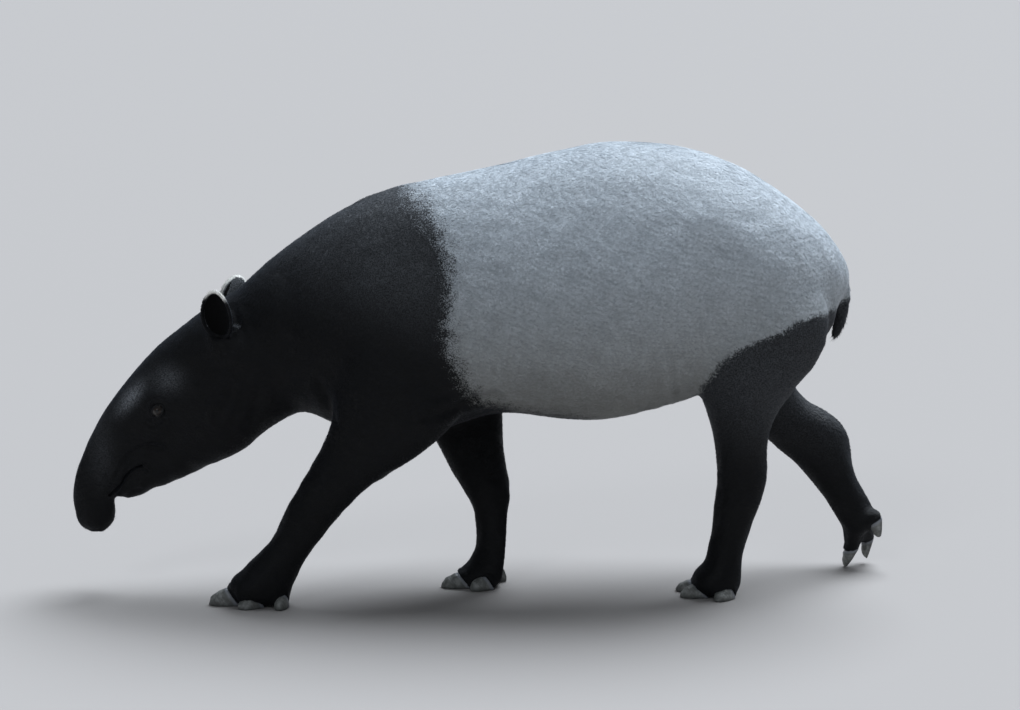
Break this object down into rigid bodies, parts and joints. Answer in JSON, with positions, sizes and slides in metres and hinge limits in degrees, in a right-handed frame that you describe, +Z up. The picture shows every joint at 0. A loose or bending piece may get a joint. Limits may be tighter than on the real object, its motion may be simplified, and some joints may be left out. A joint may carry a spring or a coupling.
{
  "type": "malayan tapir",
  "caption": "Life-size malayan tapir, walking with its head low: barrel body, drooping snout, cupped upright ears, short tail and hooved toes.",
  "frame": {"origin": "on the floor, under the middle of the animal's bounding box", "axes": "head towards -X, tail towards +X, the animal's left side towards -Y, +Z up"},
  "size_m": [2.0086, 0.5782, 1.0966],
  "materials": {
    "black_coat": "short black hair",
    "pale_coat": "short pale grey hair",
    "horn": "worn grey horn",
    "eye": "wet dark brown"
  },
  "bodies": {
    "root": {"head": "black_coat", "neck": "black_coat", "torso": "pale_coat", "tail": "black_coat", "ear_left": "black_coat", "ear_right": "black_coat", "eye_left": "eye", "eye_right": "eye", "foreleg_left": "black_coat", "foreleg_right": "black_coat", "hindleg_left": "black_coat", "hindleg_right": "black_coat", "hoof_foreleg_left_middle": "horn", "hoof_foreleg_left_outer": "horn", "hoof_foreleg_left_inner": "horn", "hoof_foreleg_left_small": "horn", "hoof_foreleg_right_middle": "horn", "hoof_foreleg_right_inner": "horn", "hoof_foreleg_right_outer": "horn", "hoof_foreleg_right_small": "horn", "hoof_hindleg_left_middle": "horn", "hoof_hindleg_left_outer": "horn", "hoof_hindleg_left_inner": "horn", "hoof_hindleg_right_middle": "horn", "hoof_hindleg_right_outer": "horn", "hoof_hindleg_right_inner": "horn"}
  },
  "joints": []
}
